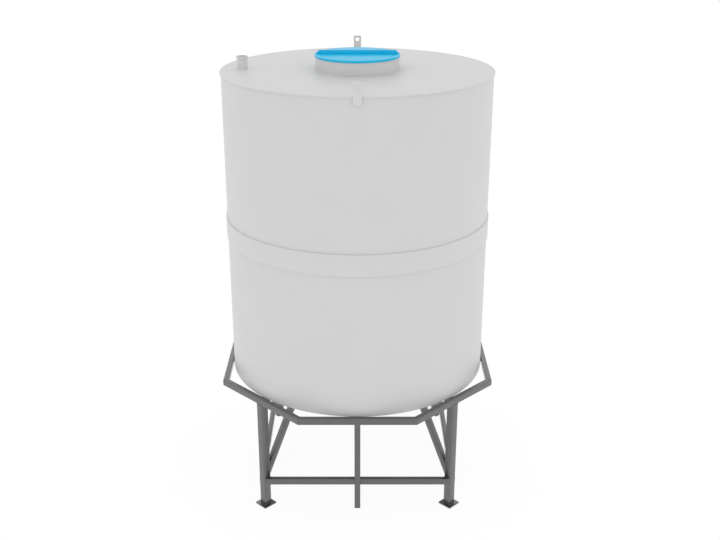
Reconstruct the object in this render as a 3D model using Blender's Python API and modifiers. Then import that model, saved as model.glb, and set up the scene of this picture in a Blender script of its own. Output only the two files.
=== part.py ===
# Vertical storage tank: a plastic shell with a flat roof, on a welded steel stand.
# Metres, +Z up. The origin is on the tank's axis at floor level, and the front is towards -Y.

import math

import bmesh
import bpy
from mathutils import Matrix, Vector

OBJECT_NAME = "vertical_storage_tank"

# Gap between pieces that touch, and the number of flats on every round piece of the shell
FIT = 0.0003
SHELL_STEPS = 96
HATCH_STEPS = 72
PIPE_STEPS = 40

# Heights: the shell stands on a seat a little below the top of the ring that keeps it in place
STAND_HEIGHT = 0.940
SEAT_HEIGHT = 0.933
SHELL_HEIGHT = 2.334
UPPER_COURSE_HEIGHT = 1.158

# Tank shell, in sheet of one thickness
TANK_RADIUS = 1.000
WALL_THICKNESS = 0.010
FLOOR_THICKNESS = 0.012
ROOF_THICKNESS = 0.010
ROOF_OVERHANG = 0.008
WALL_FOOT_CHAMFER = 0.002

# Cover strap over the joint between the two wall courses
BELT_HEIGHT = 0.160
BELT_THICKNESS = 0.008

# Hatch in the middle of the roof
COLLAR_RADIUS = 0.3085
COLLAR_THICKNESS = 0.012
COLLAR_HEIGHT = 0.094
LID_RADIUS = 0.314
LID_THICKNESS = 0.016
LID_EDGE_ROUND = 0.002
RIB_HEIGHT = 0.028
RIB_THICKNESS = 0.010
RIB_HALF_LENGTH = 0.305
RIB_CORNER_CUT = 0.024

# Open vent pipe near the roof's left edge
VENT_PLACE = Vector((-0.846, 0.0))
VENT_RADIUS = 0.0395
VENT_BORE = 0.0345
VENT_RIM_RADIUS = 0.0447
VENT_RIM_HEIGHT = 0.013
VENT_HEIGHT = 0.094

# Lifting lugs at the front and the rear of the shell
LUG_WIDTH = 0.060
LUG_HEIGHT = 0.160
LUG_THICKNESS = 0.012
LUG_BELOW_ROOF = 0.053
LUG_HOLE_RADIUS = 0.016
LUG_HOLE_FROM_TOP = 0.029
LUG_HOLE_STEPS = 32

# Stand: eight mitred ring sides, four legs turned 45 degrees, beams, braces and posts
TUBE_WIDTH = 0.040
TUBE_HEIGHT = 0.050
SEAT_TUBE_HEIGHT = 0.040
RING_OUTER = 1.047
LEG_SIZE = 0.060
FOOT_SIZE = 0.115
FOOT_THICKNESS = 0.010
BEAM_BOTTOM = 0.194
BRACE_LEAN = 30.0
POST_WIDTH = 0.045
POST_DEPTH = 0.030

# Levels and places that follow from the driving dimensions
SHELL_BOTTOM = SEAT_HEIGHT + FIT
SHELL_TOP = SHELL_BOTTOM + SHELL_HEIGHT
COURSE_JOINT = SHELL_TOP - UPPER_COURSE_HEIGHT
ROOF_BOTTOM = SHELL_TOP + FIT
ROOF_TOP = ROOF_BOTTOM + ROOF_THICKNESS
COLLAR_TOP = ROOF_TOP + FIT + COLLAR_HEIGHT
LID_BOTTOM = COLLAR_TOP + FIT
RING_INNER = RING_OUTER - TUBE_WIDTH
RING_BOTTOM = STAND_HEIGHT - TUBE_HEIGHT
RING_MIDDLE = STAND_HEIGHT - TUBE_HEIGHT / 2
SEAT_BOTTOM = SEAT_HEIGHT - SEAT_TUBE_HEIGHT
SEAT_MIDDLE = SEAT_HEIGHT - SEAT_TUBE_HEIGHT / 2
BEAM_TOP = BEAM_BOTTOM + TUBE_HEIGHT
LEG_APOTHEM = RING_OUTER - LEG_SIZE / 2
LEG_OFFSET = LEG_APOTHEM / math.sqrt(2)
LEG_CORNER = LEG_OFFSET + LEG_SIZE / math.sqrt(2)
LEG_INNER_FACE = LEG_APOTHEM - LEG_SIZE / 2
BEAM_INNER = LEG_OFFSET
BEAM_OUTER = BEAM_INNER + TUBE_WIDTH

# Names of the four sides and the turn that takes the front there
SIDES = (("front", 0), ("right", 90), ("rear", 180), ("left", 270))
CORNERS = (("front_right", 45), ("rear_right", 135), ("rear_left", 225), ("front_left", 315))

# Colours, linear, with roughness and metallic value
SHELL_FINISH = ((0.64, 0.64, 0.64, 1.0), 0.45, 0.0)
LID_FINISH = ((0.02, 0.42, 0.70, 1.0), 0.38, 0.0)
STEEL_FINISH = ((0.13, 0.13, 0.135, 1.0), 0.50, 0.0)


def clear_scene():
    """Remove every object, so that the script starts from an empty scene."""
    for old in list(bpy.data.objects):
        bpy.data.objects.remove(old, do_unlink=True)


def new_collection(name):
    """Add a collection to the scene."""
    collection = bpy.data.collections.new(name)
    bpy.context.scene.collection.children.link(collection)
    return collection


def move_to(obj, collection):
    """Take an object out of every collection and put it in one."""
    for user in list(obj.users_collection):
        user.objects.unlink(obj)
    collection.objects.link(obj)


def new_empty(name, collection):
    """Add an empty that carries a group of pieces."""
    empty = bpy.data.objects.new(name, None)
    collection.objects.link(empty)
    return empty


def dress(obj, finish):
    """Give a piece its own material."""
    colour, roughness, metallic = finish
    material = bpy.data.materials.new(obj.name + "_finish")
    material.use_nodes = True
    shader = material.node_tree.nodes["Principled BSDF"]
    shader.inputs["Base Color"].default_value = colour
    shader.inputs["Roughness"].default_value = roughness
    shader.inputs["Metallic"].default_value = metallic
    material.diffuse_color = colour
    obj.data.materials.clear()
    obj.data.materials.append(material)


def place(obj, finish, parent, location=(0.0, 0.0, 0.0), turn=0.0):
    """Dress a piece, set where it stands and hang it on its parent."""
    dress(obj, finish)
    obj.location = location
    obj.rotation_euler = (0.0, 0.0, math.radians(turn))
    obj.parent = parent
    return obj


def turned(name, profile, steps, closed, collection):
    """Turn a profile of (radius, height) points about the Z axis.

    The points run down the outer side first. A closed profile makes a ring.
    """
    mesh = bpy.data.meshes.new(name)
    points = [(radius, 0.0, height) for radius, height in profile]
    edges = [(index, index + 1) for index in range(len(points) - 1)]
    if closed:
        edges.append((len(points) - 1, 0))
    mesh.from_pydata(points, edges, [])
    obj = bpy.data.objects.new(name, mesh)
    collection.objects.link(obj)
    screw = obj.modifiers.new("turn", "SCREW")
    screw.axis = "Z"
    screw.angle = math.tau
    screw.steps = steps
    screw.render_steps = steps
    screw.use_merge_vertices = True
    screw.merge_threshold = 0.0001
    screw.use_smooth_shade = True
    return obj


def round_corner(centre, radius, start, end, points=4):
    """Give the points of an arc in the profile plane, from start to end in degrees."""
    arc = []
    for index in range(points + 1):
        angle = math.radians(start + (end - start) * index / points)
        arc.append((centre[0] + radius * math.cos(angle), centre[1] + radius * math.sin(angle)))
    return arc


def flat_plate(name, outline, thickness, collection, holes=()):
    """Cut a plate of one thickness from an outline in the XY plane, with round holes."""
    curve = bpy.data.curves.new(name, "CURVE")
    curve.dimensions = "2D"
    curve.fill_mode = "BOTH"
    curve.extrude = thickness / 2
    loops = [outline]
    for centre, radius, steps in holes:
        angles = [math.tau * index / steps for index in range(steps)]
        loops.append([(centre[0] + radius * math.cos(a), centre[1] + radius * math.sin(a)) for a in angles])
    for loop in loops:
        spline = curve.splines.new("POLY")
        spline.points.add(len(loop) - 1)
        for point, (x, y) in zip(spline.points, loop):
            point.co = (x, y, 0.0, 1.0)
        spline.use_cyclic_u = True
    obj = bpy.data.objects.new(name, curve)
    collection.objects.link(obj)
    return obj


def block(name, size, collection):
    """Make a box of one size, centred on its own origin."""
    bpy.ops.mesh.primitive_cube_add(size=1.0)
    obj = bpy.context.object
    obj.name = name
    obj.data.name = name
    obj.data.transform(Matrix.Diagonal((*size, 1.0)))
    move_to(obj, collection)
    return obj


def cut(obj, cutter):
    """Cut one closed solid out of another."""
    cutter.hide_render = True
    cutter.display_type = "WIRE"
    boolean = obj.modifiers.new("cut_" + cutter.name, "BOOLEAN")
    boolean.operation = "DIFFERENCE"
    boolean.solver = "EXACT"
    boolean.object = cutter


def build_wall(parts, tank):
    """Build the two wall courses and the strap over their joint."""
    inner = TANK_RADIUS - WALL_THICKNESS
    joint_low = COURSE_JOINT - FIT / 2
    joint_high = COURSE_JOINT + FIT / 2
    chamfer = WALL_FOOT_CHAMFER
    lower_profile = [
        (TANK_RADIUS, joint_low),
        (TANK_RADIUS, SHELL_BOTTOM + chamfer),
        (TANK_RADIUS - chamfer, SHELL_BOTTOM),
        (inner, SHELL_BOTTOM),
        (inner, joint_low),
    ]
    upper_profile = [
        (TANK_RADIUS, SHELL_TOP),
        (TANK_RADIUS, joint_high),
        (inner, joint_high),
        (inner, SHELL_TOP),
    ]
    belt_inner = TANK_RADIUS + FIT
    belt_outer = belt_inner + BELT_THICKNESS
    belt_profile = [
        (belt_outer, COURSE_JOINT + BELT_HEIGHT / 2),
        (belt_outer, COURSE_JOINT - BELT_HEIGHT / 2),
        (belt_inner, COURSE_JOINT - BELT_HEIGHT / 2),
        (belt_inner, COURSE_JOINT + BELT_HEIGHT / 2),
    ]
    place(turned("tank_wall_lower", lower_profile, SHELL_STEPS, True, parts), SHELL_FINISH, tank)
    place(turned("tank_wall_upper", upper_profile, SHELL_STEPS, True, parts), SHELL_FINISH, tank)
    place(turned("wall_belt", belt_profile, SHELL_STEPS, True, parts), SHELL_FINISH, tank)


def build_floor(parts, tank):
    """Build the round floor plate inside the foot of the wall."""
    radius = TANK_RADIUS - WALL_THICKNESS - FIT
    top = SHELL_BOTTOM + FLOOR_THICKNESS
    profile = [(0.0, top), (radius, top), (radius, SHELL_BOTTOM), (0.0, SHELL_BOTTOM)]
    place(turned("tank_floor", profile, SHELL_STEPS, False, parts), SHELL_FINISH, tank)


def build_roof(parts, cutters, tank):
    """Build the flat roof, open under the hatch and the vent and notched for the lugs."""
    bore = COLLAR_RADIUS - COLLAR_THICKNESS
    edge = TANK_RADIUS + ROOF_OVERHANG
    profile = [(edge, ROOF_TOP), (edge, ROOF_BOTTOM), (bore, ROOF_BOTTOM), (bore, ROOF_TOP)]
    roof = turned("tank_roof", profile, SHELL_STEPS, True, parts)
    place(roof, SHELL_FINISH, tank)

    reach = ROOF_THICKNESS * 2
    bpy.ops.mesh.primitive_cylinder_add(vertices=PIPE_STEPS, radius=VENT_BORE, depth=2 * reach)
    vent_hole = bpy.context.object
    vent_hole.name = "vent_hole_cutter"
    vent_hole.location = (VENT_PLACE.x, VENT_PLACE.y, ROOF_TOP)
    move_to(vent_hole, cutters)
    cut(roof, vent_hole)

    for name, side in (("front", -1), ("rear", 1)):
        notch = block("lug_notch_" + name, (LUG_WIDTH + 2 * FIT, 2 * reach, 2 * reach), cutters)
        notch.location = (0.0, side * (TANK_RADIUS + reach), ROOF_TOP)
        cut(roof, notch)


def build_hatch(parts, tank):
    """Build the hatch collar, and the lid that lifts off it with its upright grip rib."""
    bore = COLLAR_RADIUS - COLLAR_THICKNESS
    foot = ROOF_TOP + FIT
    collar_profile = [(COLLAR_RADIUS, COLLAR_TOP), (COLLAR_RADIUS, foot), (bore, foot), (bore, COLLAR_TOP)]
    collar = turned("hatch_collar", collar_profile, HATCH_STEPS, True, parts)
    place(collar, SHELL_FINISH, tank)

    centre = (LID_RADIUS - LID_EDGE_ROUND, LID_THICKNESS - LID_EDGE_ROUND)
    lid_profile = [(0.0, LID_THICKNESS)]
    lid_profile += round_corner(centre, LID_EDGE_ROUND, 90, 0, points=2)
    lid_profile += [(LID_RADIUS, 0.0), (0.0, 0.0)]
    lid = turned("hatch_lid", lid_profile, HATCH_STEPS, False, parts)
    place(lid, LID_FINISH, None, location=(0.0, 0.0, LID_BOTTOM))

    short = RIB_HALF_LENGTH - RIB_CORNER_CUT
    outline = [(-RIB_HALF_LENGTH, 0.0), (RIB_HALF_LENGTH, 0.0), (short, RIB_HEIGHT), (-short, RIB_HEIGHT)]
    rib = flat_plate("lid_rib", outline, RIB_THICKNESS, parts)
    place(rib, LID_FINISH, lid, location=(0.0, 0.0, LID_THICKNESS + FIT))
    rib.rotation_euler = (math.radians(90), 0.0, 0.0)


def build_vent(parts, tank):
    """Build the open vent pipe with the thicker rim round its mouth."""
    foot = ROOF_TOP + FIT
    top = foot + VENT_HEIGHT
    rim_bottom = top - VENT_RIM_HEIGHT
    profile = [
        (VENT_RIM_RADIUS, top),
        (VENT_RIM_RADIUS, rim_bottom),
        (VENT_RADIUS, rim_bottom),
        (VENT_RADIUS, foot),
        (VENT_BORE, foot),
        (VENT_BORE, top),
    ]
    pipe = turned("vent_pipe", profile, PIPE_STEPS, True, parts)
    place(pipe, SHELL_FINISH, tank, location=(VENT_PLACE.x, VENT_PLACE.y, 0.0))


def build_lugs(parts, tank):
    """Build the flat lifting lugs against the top of the wall, front and rear."""
    half = LUG_WIDTH / 2
    outline = [(-half, 0.0), (half, 0.0), (half, LUG_HEIGHT), (-half, LUG_HEIGHT)]
    hole = ((0.0, LUG_HEIGHT - LUG_HOLE_FROM_TOP), LUG_HOLE_RADIUS, LUG_HOLE_STEPS)
    middle = TANK_RADIUS + FIT + LUG_THICKNESS / 2
    for name, turn in (("front", 0), ("rear", 180)):
        lug = flat_plate("lifting_lug_" + name, outline, LUG_THICKNESS, parts, holes=(hole,))
        distance = -middle if turn == 0 else middle
        place(lug, SHELL_FINISH, tank, location=(0.0, distance, SHELL_TOP - LUG_BELOW_ROOF))
        lug.rotation_euler = (math.radians(90), 0.0, math.radians(turn))


def mitred_tube(name, outer, outer_half, inner, inner_half, height, parts):
    """Make a straight tube along X on the front side, with ends cut to two half lengths.

    The tube lies between the distances inner and outer from the axis.
    """
    outline = [(-outer_half, -outer), (outer_half, -outer), (inner_half, -inner), (-inner_half, -inner)]
    return flat_plate(name, outline, height, parts)


def build_ring(parts, stand):
    """Build the octagon of eight mitred tubes round the foot of the shell."""
    slope = math.tan(math.radians(22.5))
    mitre_gap = FIT / 2 / math.cos(math.radians(22.5))
    outer_half = RING_OUTER * slope - mitre_gap
    inner_half = RING_INNER * slope - mitre_gap
    for name, turn in SIDES + CORNERS:
        tube = mitred_tube(
            "ring_side_" + name,
            RING_OUTER,
            outer_half,
            RING_INNER,
            inner_half,
            TUBE_HEIGHT,
            parts,
        )
        place(tube, STEEL_FINISH, stand, location=(0.0, 0.0, RING_MIDDLE), turn=turn)


def build_legs(parts, stand):
    """Build the legs under the diagonal ring sides, each on its square foot plate."""
    leg_bottom = FOOT_THICKNESS + FIT
    leg_top = RING_BOTTOM - FIT
    for name, turn in CORNERS:
        angle = math.radians(turn - 90)
        x = LEG_APOTHEM * math.cos(angle)
        y = LEG_APOTHEM * math.sin(angle)
        leg = block("leg_" + name, (LEG_SIZE, LEG_SIZE, leg_top - leg_bottom), parts)
        place(leg, STEEL_FINISH, stand, location=(x, y, (leg_top + leg_bottom) / 2), turn=turn)
        foot = block("foot_plate_" + name, (FOOT_SIZE, FOOT_SIZE, FOOT_THICKNESS), parts)
        place(foot, STEEL_FINISH, stand, location=(x, y, FOOT_THICKNESS / 2), turn=turn)


def build_beams(parts, stand):
    """Build the lower beams, which end on the slanting faces of the legs."""
    leg_reach = LEG_CORNER - LEG_OFFSET + FIT * math.sqrt(2)
    outer_half = BEAM_OUTER - leg_reach
    inner_half = BEAM_INNER - leg_reach
    for name, turn in SIDES:
        beam = mitred_tube(
            "lower_beam_" + name,
            BEAM_OUTER,
            outer_half,
            BEAM_INNER,
            inner_half,
            TUBE_HEIGHT,
            parts,
        )
        place(beam, STEEL_FINISH, stand, location=(0.0, 0.0, BEAM_BOTTOM + TUBE_HEIGHT / 2), turn=turn)


def build_seat(parts, stand):
    """Build the seat under the tank floor: a cross of two beams and four diagonal beams.

    The cross stands on the middle posts and the diagonal beams on the legs and the braces.
    All of them end on the inner faces of the ring.
    """
    half = TUBE_WIDTH / 2
    end = RING_INNER - FIT
    arm = [(half, half), (half, end), (-half, end)]
    outline = []
    for quarter in range(4):
        turn = Matrix.Rotation(math.radians(90 * quarter), 2)
        outline += [tuple(turn @ Vector(point)) for point in arm]
    cross = flat_plate("floor_cross", outline, SEAT_TUBE_HEIGHT, parts)
    place(cross, STEEL_FINISH, stand, location=(0.0, 0.0, SEAT_MIDDLE))

    tip = (half + FIT) * math.sqrt(2)
    outline = [(-half, -end), (half, -end), (half, -half - tip), (0.0, -tip), (-half, -half - tip)]
    for name, turn in CORNERS:
        beam = flat_plate("seat_beam_" + name, outline, SEAT_TUBE_HEIGHT, parts)
        place(beam, STEEL_FINISH, stand, location=(0.0, 0.0, SEAT_MIDDLE), turn=turn)


def trim(solid, point, normal):
    """Cut off what lies beyond a plane and close the cut face."""
    everything = solid.verts[:] + solid.edges[:] + solid.faces[:]
    found = bmesh.ops.bisect_plane(
        solid, geom=everything, plane_co=point, plane_no=normal, clear_outer=True, dist=1e-6
    )
    rim = [item for item in found["geom_cut"] if isinstance(item, bmesh.types.BMEdge)]
    bmesh.ops.edgeloop_fill(solid, edges=rim)


def brace_mesh():
    """Make one brace, as it lies for a leg in the middle of the front side.

    The tube starts on the inner face of the leg, just above the lower beams. It leans inwards
    and ends under the seat beam.
    """
    lean = math.radians(BRACE_LEAN)
    foot = Vector((0.0, FIT - LEG_INNER_FACE, BEAM_TOP + FIT))
    top = SEAT_BOTTOM - FIT
    along = Vector((0.0, math.sin(lean), math.cos(lean)))
    underside = Vector((0.0, math.cos(lean), -math.sin(lean)))
    length = (top - foot.z) / along.z
    spare = 4 * TUBE_HEIGHT
    middle = foot - underside * TUBE_HEIGHT / 2 + along * length / 2

    solid = bmesh.new()
    bmesh.ops.create_cube(solid, size=1.0)
    bmesh.ops.scale(solid, vec=(TUBE_WIDTH, TUBE_HEIGHT, length + spare), verts=solid.verts)
    bmesh.ops.rotate(solid, cent=(0.0, 0.0, 0.0), matrix=Matrix.Rotation(-lean, 3, "X"), verts=solid.verts)
    bmesh.ops.translate(solid, vec=middle, verts=solid.verts)
    trim(solid, foot, Vector((0.0, -1.0, 0.0)))
    trim(solid, Vector((0.0, 0.0, top)), Vector((0.0, 0.0, 1.0)))
    bmesh.ops.recalc_face_normals(solid, faces=solid.faces)

    mesh = bpy.data.meshes.new("brace")
    solid.to_mesh(mesh)
    solid.free()
    return mesh


def build_braces(parts, stand):
    """Build the four slanting braces, one from each leg towards the tank's axis."""
    mesh = brace_mesh()
    for name, turn in CORNERS:
        brace = bpy.data.objects.new("brace_" + name, mesh.copy())
        parts.objects.link(brace)
        place(brace, STEEL_FINISH, stand, turn=turn)


def build_posts(parts, stand):
    """Build the middle posts in front of the lower beams, from the floor to the cross."""
    distance = BEAM_OUTER + FIT + POST_DEPTH / 2
    height = SEAT_BOTTOM - FIT
    for name, turn in SIDES:
        angle = math.radians(turn - 90)
        post = block("post_" + name, (POST_WIDTH, POST_DEPTH, height), parts)
        location = (distance * math.cos(angle), distance * math.sin(angle), height / 2)
        place(post, STEEL_FINISH, stand, location=location, turn=turn)


def build():
    """Build the whole tank."""
    clear_scene()
    parts = new_collection(OBJECT_NAME)
    cutters = new_collection(OBJECT_NAME + "_cutters")
    tank = new_empty("tank", parts)
    stand = new_empty("stand", parts)
    build_wall(parts, tank)
    build_floor(parts, tank)
    build_roof(parts, cutters, tank)
    build_hatch(parts, tank)
    build_vent(parts, tank)
    build_lugs(parts, tank)
    build_ring(parts, stand)
    build_legs(parts, stand)
    build_beams(parts, stand)
    build_seat(parts, stand)
    build_braces(parts, stand)
    build_posts(parts, stand)


build()
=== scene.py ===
"""Dressed model of a vertical storage tank: a pale plastic shell on a dark painted steel stand.

Metres, +Z up. The origin is on the tank's axis at floor level and the front is towards -Y. The
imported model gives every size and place. What is added here is the real look of each piece: rounded
sheet and tube edges, weld seams and the finish of every surface.
"""

import logging
import math
from collections.abc import Callable, Sequence
from dataclasses import dataclass, field
from enum import Enum

import bmesh
import bpy
from mathutils import Matrix, Vector


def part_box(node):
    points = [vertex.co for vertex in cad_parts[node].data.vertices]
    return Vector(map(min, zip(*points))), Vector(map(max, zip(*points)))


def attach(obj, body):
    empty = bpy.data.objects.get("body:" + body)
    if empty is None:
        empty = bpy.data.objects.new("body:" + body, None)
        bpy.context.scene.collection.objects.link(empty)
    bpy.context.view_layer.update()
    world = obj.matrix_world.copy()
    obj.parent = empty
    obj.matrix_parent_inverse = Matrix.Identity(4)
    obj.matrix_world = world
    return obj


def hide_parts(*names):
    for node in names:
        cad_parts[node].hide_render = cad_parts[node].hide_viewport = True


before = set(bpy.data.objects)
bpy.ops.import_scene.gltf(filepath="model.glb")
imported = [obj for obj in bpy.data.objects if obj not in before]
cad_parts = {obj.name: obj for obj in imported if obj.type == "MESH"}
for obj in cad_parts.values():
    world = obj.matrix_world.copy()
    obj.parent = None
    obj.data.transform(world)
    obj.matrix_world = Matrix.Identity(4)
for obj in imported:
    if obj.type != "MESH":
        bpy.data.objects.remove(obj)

LOG = logging.getLogger("vertical_storage_tank")
MILLIMETRE = 0.001
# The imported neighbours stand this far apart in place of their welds
JOINT_GAP = 0.0003
MERGE_DISTANCE = 0.00002
FULL_TURN = math.tau
QUARTERS = 4

Corner = tuple[float, float, float]
Point = tuple[float, float, float]


class Body(Enum):
    """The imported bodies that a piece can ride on."""

    TANK = "tank"
    LID = "lid"


class Slot(Enum):
    """The record's material slots."""

    SHEET = "pale_plastic_sheet"
    PIPE = "plastic_pipe"
    LID_SHEET = "blue_plastic_sheet"
    STEEL = "painted_steel"


class Side(Enum):
    """The four sides of the stand, with the turn in degrees that takes the front there."""

    FRONT = 0
    RIGHT = 90
    REAR = 180
    LEFT = 270


class Diagonal(Enum):
    """The four corners of the stand, with the turn in degrees that takes the front there."""

    FRONT_RIGHT = 45
    REAR_RIGHT = 135
    REAR_LEFT = 225
    FRONT_LEFT = 315


@dataclass(frozen=True)
class NodeBox:
    """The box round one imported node, in metres."""

    low: Vector
    high: Vector

    @classmethod
    def of(cls, node: str) -> "NodeBox":
        """Read the box of a node.

        Args:
            node: The node's name.

        Returns:
            Its box at rest.
        """
        low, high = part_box(node)
        return cls(Vector(low), Vector(high))

    @property
    def centre(self) -> Vector:
        """The middle of the box."""
        return (self.low + self.high) / 2

    @property
    def size(self) -> Vector:
        """The lengths of the box's sides."""
        return self.high - self.low

    @property
    def reach(self) -> float:
        """The distance of the middle from the tank's axis."""
        return self.centre.xy.length


def node_names(stem: str, places: type[Enum]) -> list[str]:
    """List the nodes that repeat one piece round the stand.

    Args:
        stem: The part of the names that they share.
        places: The sides or the diagonals.

    Returns:
        One name for each place.
    """
    return [f"{stem}_{place.name.lower()}" for place in places]


# Colours and node helpers


def linear(hex_code: str) -> tuple[float, float, float, float]:
    """Turn an sRGB colour into linear values.

    Args:
        hex_code: Six hex digits.

    Returns:
        Red, green, blue and alpha.
    """
    values = []
    for start in (0, 2, 4):
        value = int(hex_code[start : start + 2], 16) / 255
        values.append(value / 12.92 if value <= 0.04045 else ((value + 0.055) / 1.055) ** 2.4)
    return (values[0], values[1], values[2], 1.0)


def add_node(tree: bpy.types.NodeTree, kind: str, settings: dict, inputs: dict) -> bpy.types.Node:
    """Add a node with its settings and links.

    Args:
        tree: The tree that gets the node.
        kind: The node's type.
        settings: Properties of the node.
        inputs: What goes into each input, by name or index: a plain value, or a socket to link.

    Returns:
        The new node.
    """
    node = tree.nodes.new(kind)
    for name, value in settings.items():
        setattr(node, name, value)
    for key, value in inputs.items():
        if isinstance(value, bpy.types.NodeSocket):
            tree.links.new(value, node.inputs[key])
        else:
            node.inputs[key].default_value = value
    return node


def maths(tree: bpy.types.NodeTree, operation: str, *values: object) -> bpy.types.NodeSocket:
    """Add a math node and give its result."""
    return add_node(tree, "ShaderNodeMath", {"operation": operation}, dict(enumerate(values))).outputs[0]


def waves_per_metre(size_mm: float) -> float:
    """Give the noise scale whose features are about one size in millimetres."""
    return 1.0 / (size_mm * MILLIMETRE)


@dataclass(frozen=True)
class Coating:
    """The node tree of one material, with the small steps that every finish repeats."""

    material: bpy.types.Material
    place: bpy.types.NodeSocket

    @classmethod
    def start(cls, name: str, colour: str) -> "Coating":
        """Start a material on Object coordinates.

        Args:
            name: The material's name.
            colour: Its main colour as six hex digits.

        Returns:
            The coating with its bare material.
        """
        material = bpy.data.materials.new(name)
        material.use_nodes = True
        material.diffuse_color = linear(colour)
        place = add_node(material.node_tree, "ShaderNodeTexCoord", {}, {}).outputs["Object"]
        return cls(material, place)

    def noise(self, size_mm: float, detail: float) -> bpy.types.NodeSocket:
        """Add noise whose features are about one size."""
        inputs = {"Vector": self.place, "Scale": waves_per_metre(size_mm), "Detail": detail}
        return add_node(self.material.node_tree, "ShaderNodeTexNoise", {}, inputs).outputs[0]

    def bump(
        self,
        height: bpy.types.NodeSocket,
        depth_mm: float,
        strength: float,
        below: bpy.types.NodeSocket | None = None,
    ) -> bpy.types.NodeSocket:
        """Add relief to the skin.

        Args:
            height: Where the relief stands out.
            depth_mm: Its depth.
            strength: Its strength.
            below: The relief that it lies on.

        Returns:
            The bumped normal.
        """
        inputs = {"Height": height, "Distance": depth_mm * MILLIMETRE, "Strength": strength}
        if below:
            inputs["Normal"] = below
        return add_node(self.material.node_tree, "ShaderNodeBump", {}, inputs).outputs[0]

    def finish(
        self,
        colours: tuple[str, str],
        drift: bpy.types.NodeSocket,
        roughness: tuple[float, float],
        gloss: bpy.types.NodeSocket,
        relief: bpy.types.NodeSocket,
        extras: dict[str, float],
    ) -> bpy.types.Material:
        """Join colour, gloss and relief in the shader.

        Args:
            colours: The two colours that it drifts between.
            drift: Where it has the second colour.
            roughness: The middle roughness and how far it swings.
            gloss: Where it is rougher.
            relief: The bumped normal.
            extras: Other plain inputs of the shader.

        Returns:
            The finished material.
        """
        tree = self.material.node_tree
        shader = tree.nodes["Principled BSDF"]
        first, second = (linear(colour) for colour in colours)
        inputs = {0: drift, 6: first, 7: second}
        colour = add_node(tree, "ShaderNodeMix", {"data_type": "RGBA"}, inputs).outputs[2]
        middle, swing = roughness
        inputs = {"Value": gloss, "To Min": middle - swing, "To Max": middle + swing}
        sheen = add_node(tree, "ShaderNodeMapRange", {}, inputs).outputs[0]
        for name, socket in (("Base Color", colour), ("Roughness", sheen), ("Normal", relief)):
            tree.links.new(socket, shader.inputs[name])
        for name, value in extras.items():
            shader.inputs[name].default_value = value
        return self.material


# Finishes


@dataclass(frozen=True)
class SheetFinish:
    """Thermoplastic sheet or pipe: an even colour with a satin, slightly uneven skin.

    The colour drifts a little over a hand's width. The skin has the fine ripple of extruded
    plastic, drawn a few times coarser than the real one so that it shows.
    """

    name: str
    colour: str
    shade: str
    roughness: float
    ior: float = 1.49
    drift_mm: float = 350.0
    ripple_mm: float = 9.0
    ripple_depth_mm: float = 0.12
    line_mm: float = 2.5
    line_depth_mm: float = 0.0
    roughness_swing: float = 0.05

    def build(self) -> bpy.types.Material:
        """Build the material.

        Returns:
            A material on Object coordinates.
        """
        coating = Coating.start(self.name, self.colour)
        tree = coating.material.node_tree
        drift = coating.noise(self.drift_mm, 3.0)
        skin = coating.noise(self.ripple_mm, 2.0)
        relief = coating.bump(skin, self.ripple_depth_mm, 0.6)
        if self.line_depth_mm:
            stretch = (0.6, 0.6, waves_per_metre(self.line_mm))
            inputs = {"Vector": coating.place, "Scale": stretch}
            stretched = add_node(tree, "ShaderNodeMapping", {}, inputs).outputs[0]
            inputs = {"Vector": stretched, "Scale": 1.0, "Detail": 1.0}
            lines = add_node(tree, "ShaderNodeTexNoise", {}, inputs).outputs[0]
            relief = coating.bump(lines, self.line_depth_mm, 0.5, relief)
        colours = (self.colour, self.shade)
        roughness = (self.roughness, self.roughness_swing)
        return coating.finish(colours, drift, roughness, skin, relief, {"IOR": self.ior})


@dataclass(frozen=True)
class PaintFinish:
    """Grey metallic paint under a satin clear coat, with the orange peel of a spray gun."""

    name: str
    colour: str
    shade: str
    roughness: float
    metallic: float = 1.0
    clear_coat: float = 0.8
    coat_ior: float = 1.6
    peel_mm: float = 4.0
    peel_depth_mm: float = 0.12
    cloud_mm: float = 80.0
    roughness_swing: float = 0.10

    def build(self) -> bpy.types.Material:
        """Build the material.

        Returns:
            A material on Object coordinates.
        """
        coating = Coating.start(self.name, self.colour)
        cloud = coating.noise(self.cloud_mm, 4.0)
        peel = coating.noise(self.peel_mm, 1.0)
        relief = coating.bump(peel, self.peel_depth_mm, 0.5)
        extras = {
            "Metallic": self.metallic,
            "Coat Weight": self.clear_coat,
            "Coat Roughness": self.roughness,
            "Coat IOR": self.coat_ior,
        }
        colours = (self.colour, self.shade)
        roughness = (self.roughness, self.roughness_swing)
        return coating.finish(colours, cloud, roughness, cloud, relief, extras)


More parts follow.
